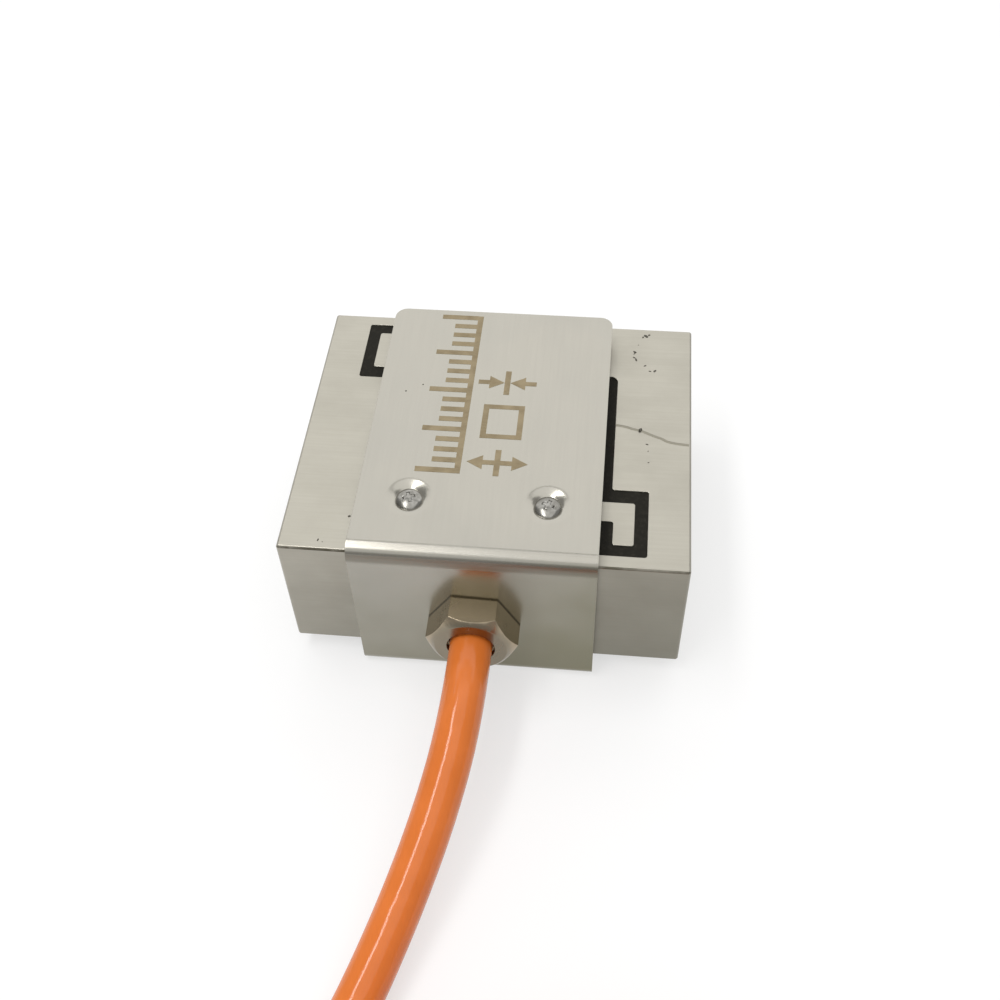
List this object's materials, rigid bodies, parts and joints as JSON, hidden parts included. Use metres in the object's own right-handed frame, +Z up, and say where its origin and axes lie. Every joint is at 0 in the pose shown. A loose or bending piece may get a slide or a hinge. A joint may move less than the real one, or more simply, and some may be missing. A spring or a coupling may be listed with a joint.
{
  "type": "s type load cell",
  "caption": "S-shaped load cell block with hooked slots, a folded cover over the gauges, threaded ends, a cable gland and an orange lead.",
  "frame": {"origin": "on the underside of the cover, the face that the cell rests on, straight below the middle of the spring element", "axes": "X is the load axis through both threaded end holes, -Y is the side where the lead comes out, +Z is up through the cover's marked face"},
  "size_m": [0.0965, 0.2034, 0.0292],
  "materials": {
    "block_steel": "fine ground, satin",
    "cover_steel": "satin sheet, laser marked",
    "screw_steel": "bright",
    "gland_nickel": "nickel-plated",
    "black_sealant": "matt",
    "sleeve_rubber": "matt",
    "orange_jacket": "glossy extruded",
    "board_green": "solder mask",
    "gauge_film": "polyimide film",
    "tinned_wire": "tinned copper",
    "core_red": "insulation",
    "core_black": "insulation",
    "core_green": "insulation",
    "core_white": "insulation",
    "tie_nylon": "nylon"
  },
  "bodies": {
    "root": {"spring_element": "block_steel", "slot_sealant_right": "black_sealant", "slot_sealant_left": "black_sealant", "window_seal_top": "black_sealant", "window_seal_bottom": "black_sealant", "cover": "cover_steel", "cover_screws": "screw_steel", "cover_spacers": "screw_steel", "gland_screw": "gland_nickel", "gland_washer": "gland_nickel", "gland_sleeve": "sleeve_rubber", "terminal_board": "board_green", "gauge_wires": "tinned_wire", "strain_gauge_left_front": "gauge_film", "strain_gauge_left_rear": "gauge_film", "strain_gauge_right_front": "gauge_film", "strain_gauge_right_rear": "gauge_film", "inner_core_red": "core_red", "inner_core_black": "core_black", "inner_core_green": "core_green", "inner_core_white": "core_white", "cable_in_gland": "orange_jacket", "cable": "orange_jacket", "cable_coil": "orange_jacket", "cable_tail": "orange_jacket", "core_red": "core_red", "core_white": "core_white", "core_green": "core_green", "core_black": "core_black", "drain_wire": "tinned_wire", "coil_tie_1": "tie_nylon", "coil_tie_2": "tie_nylon", "coil_tie_3": "tie_nylon"}
  },
  "joints": []
}
